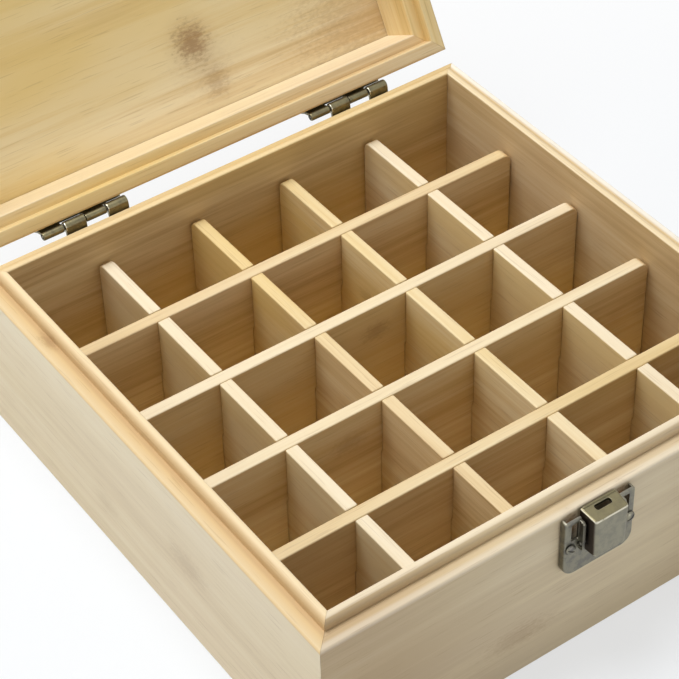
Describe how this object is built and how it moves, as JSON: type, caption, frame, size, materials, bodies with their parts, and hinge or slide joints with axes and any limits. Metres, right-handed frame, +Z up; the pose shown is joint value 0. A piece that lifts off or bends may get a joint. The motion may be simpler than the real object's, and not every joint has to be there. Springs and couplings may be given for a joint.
{
  "type": "essential oil storage box",
  "caption": "Square bamboo bottle box with an open hinged lid, a grid of halved dividers, a stepped rim, butt hinges and a bronze lever latch.",
  "frame": {"origin": "centre of the box's underside, on the surface it stands on", "axes": "+X to the right along the front wall, +Y from the latch side to the hinge side, +Z up"},
  "size_m": [0.178, 0.2982, 0.2154],
  "materials": {
    "bamboo_wall": "natural bamboo, satin lacquer",
    "bamboo_lid": "natural bamboo, satin lacquer",
    "bamboo_grid": "natural bamboo, sanded",
    "bamboo_floor": "thin board, sanded",
    "antique_bronze": "antique bronze plate, worn bright on the edges",
    "dark_pin": "dark antique plate"
  },
  "bodies": {
    "box": {"bottom_panel": "bamboo_floor", "divider_cross_1": "bamboo_grid", "divider_cross_2": "bamboo_grid", "divider_cross_3": "bamboo_grid", "divider_cross_4": "bamboo_grid", "divider_long_1": "bamboo_grid", "divider_long_2": "bamboo_grid", "divider_long_3": "bamboo_grid", "divider_long_4": "bamboo_grid", "hinge_left_box_leaf": "antique_bronze", "hinge_left_pin": "dark_pin", "hinge_right_box_leaf": "antique_bronze", "hinge_right_pin": "dark_pin", "latch_base_plate": "antique_bronze", "latch_pin": "dark_pin", "screw_hinge_left_box_1": "antique_bronze", "screw_hinge_left_box_2": "antique_bronze", "screw_hinge_right_box_1": "antique_bronze", "screw_hinge_right_box_2": "antique_bronze", "screw_latch_1": "antique_bronze", "screw_latch_2": "antique_bronze", "wall_back": "bamboo_wall", "wall_front": "bamboo_wall", "wall_left": "bamboo_wall", "wall_right": "bamboo_wall"},
    "lid": {"hinge_left_lid_leaf": "antique_bronze", "hinge_right_lid_leaf": "antique_bronze", "keeper_plate": "antique_bronze", "lid_back": "bamboo_lid", "lid_front": "bamboo_lid", "lid_left": "bamboo_lid", "lid_panel": "bamboo_lid", "lid_right": "bamboo_lid", "screw_hinge_left_lid_1": "antique_bronze", "screw_hinge_left_lid_2": "antique_bronze", "screw_hinge_right_lid_1": "antique_bronze", "screw_hinge_right_lid_2": "antique_bronze", "screw_keeper_1": "antique_bronze", "screw_keeper_2": "antique_bronze"},
    "lever": {"latch_lever": "antique_bronze"}
  },
  "joints": [
    {"name": "lid_hinge", "type": "hinge", "parent": "box", "child": "lid", "pos_m": [0, 0.0913, 0.055], "axis": [-1, 0, 0], "range_deg": [-120, 0]},
    {"name": "lever_pivot", "type": "hinge", "parent": "box", "child": "lever", "pos_m": [0, -0.0921, 0.0435], "axis": [1, 0, 0], "range_deg": [-4, 12]}
  ]
}
